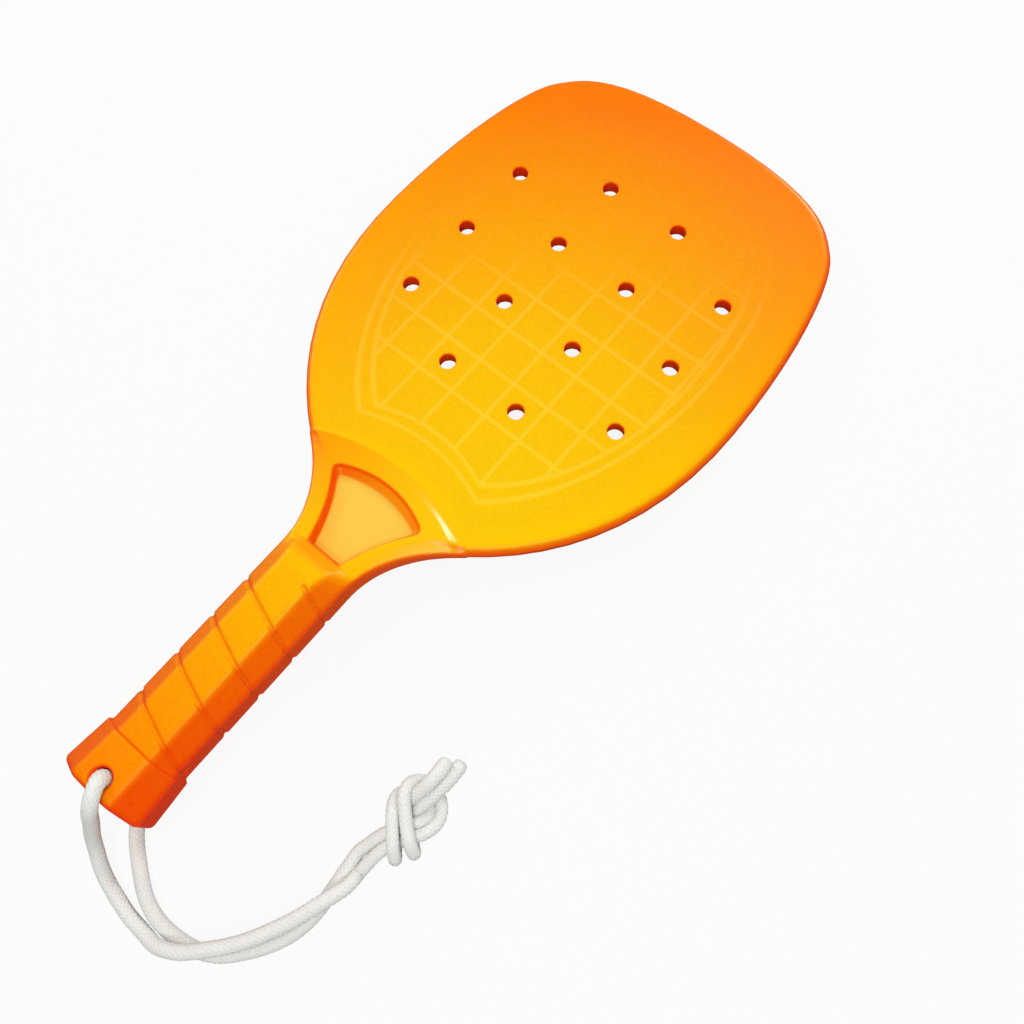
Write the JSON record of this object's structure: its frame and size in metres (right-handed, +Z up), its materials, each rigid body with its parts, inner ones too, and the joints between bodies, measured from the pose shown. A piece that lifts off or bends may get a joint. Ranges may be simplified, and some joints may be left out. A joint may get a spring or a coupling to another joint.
{
  "type": "paddleball paddle",
  "caption": "Moulded plastic paddle with a perforated rounded blade, recessed throat, octagonal grooved handle, flared butt and a knotted wrist cord through it.",
  "frame": {"origin": "centre of the paddle's footprint, on the surface that it lies on; the cord is left out of that box", "axes": "+Y from the butt to the blade's tip, +Z up from the surface, +X across the blade, towards the side where the cord lies"},
  "size_m": [0.1974, 0.4214, 0.05],
  "materials": {
    "orange_plastic": "satin moulded surface with a fine grain, deep orange at the tip and more yellow towards the throat",
    "white_cord": "off-white braided cord with heat-sealed ends"
  },
  "bodies": {
    "root": {"paddle": "orange_plastic", "cord_in_bore": "white_cord", "cord_upper_strand": "white_cord", "cord_lower_strand": "white_cord", "knot_upper_strand": "white_cord", "knot_lower_strand": "white_cord"}
  },
  "joints": []
}
